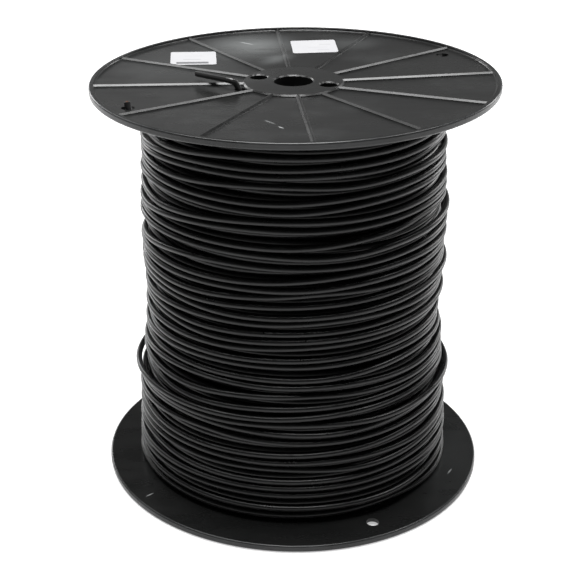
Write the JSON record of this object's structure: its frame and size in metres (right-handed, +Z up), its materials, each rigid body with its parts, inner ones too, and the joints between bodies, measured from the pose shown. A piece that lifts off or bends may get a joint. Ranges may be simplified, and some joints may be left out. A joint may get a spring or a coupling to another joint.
{
  "type": "wire spool",
  "caption": "Moulded plastic spool with ribbed round flanges on a hollow barrel, full of wound black jacketed wire, its start end standing out of the upper flange beside paper labels.",
  "frame": {"origin": "on the spool's axis, in the plane that the lower rim rests on", "axes": "+Z up along the spool's axis from the lower flange to the upper one; +X to the right as seen from the front, -Y towards the viewer"},
  "size_m": [0.2666, 0.2666, 0.2849],
  "materials": {
    "flange_plastic": "moulded dark grey-black polystyrene, satin, lightly scuffed",
    "barrel_plastic": "moulded black polystyrene, satin",
    "wire_jacket": "extruded black polyethylene jacket, semi-gloss",
    "copper": "bare soft-drawn copper, cut end",
    "label_paper": "white coated paper, matte, printed with plain bars"
  },
  "bodies": {
    "root": {"upper_flange": "flange_plastic", "lower_flange": "flange_plastic", "barrel": "barrel_plastic", "wire_deep_layers": "wire_jacket", "wire_surface_layers": "wire_jacket", "start_tail_jacket": "wire_jacket", "finish_tail_jacket": "wire_jacket", "start_tail_conductor": "copper", "finish_tail_conductor": "copper", "inspection_label": "label_paper", "stock_label": "label_paper"}
  },
  "joints": []
}
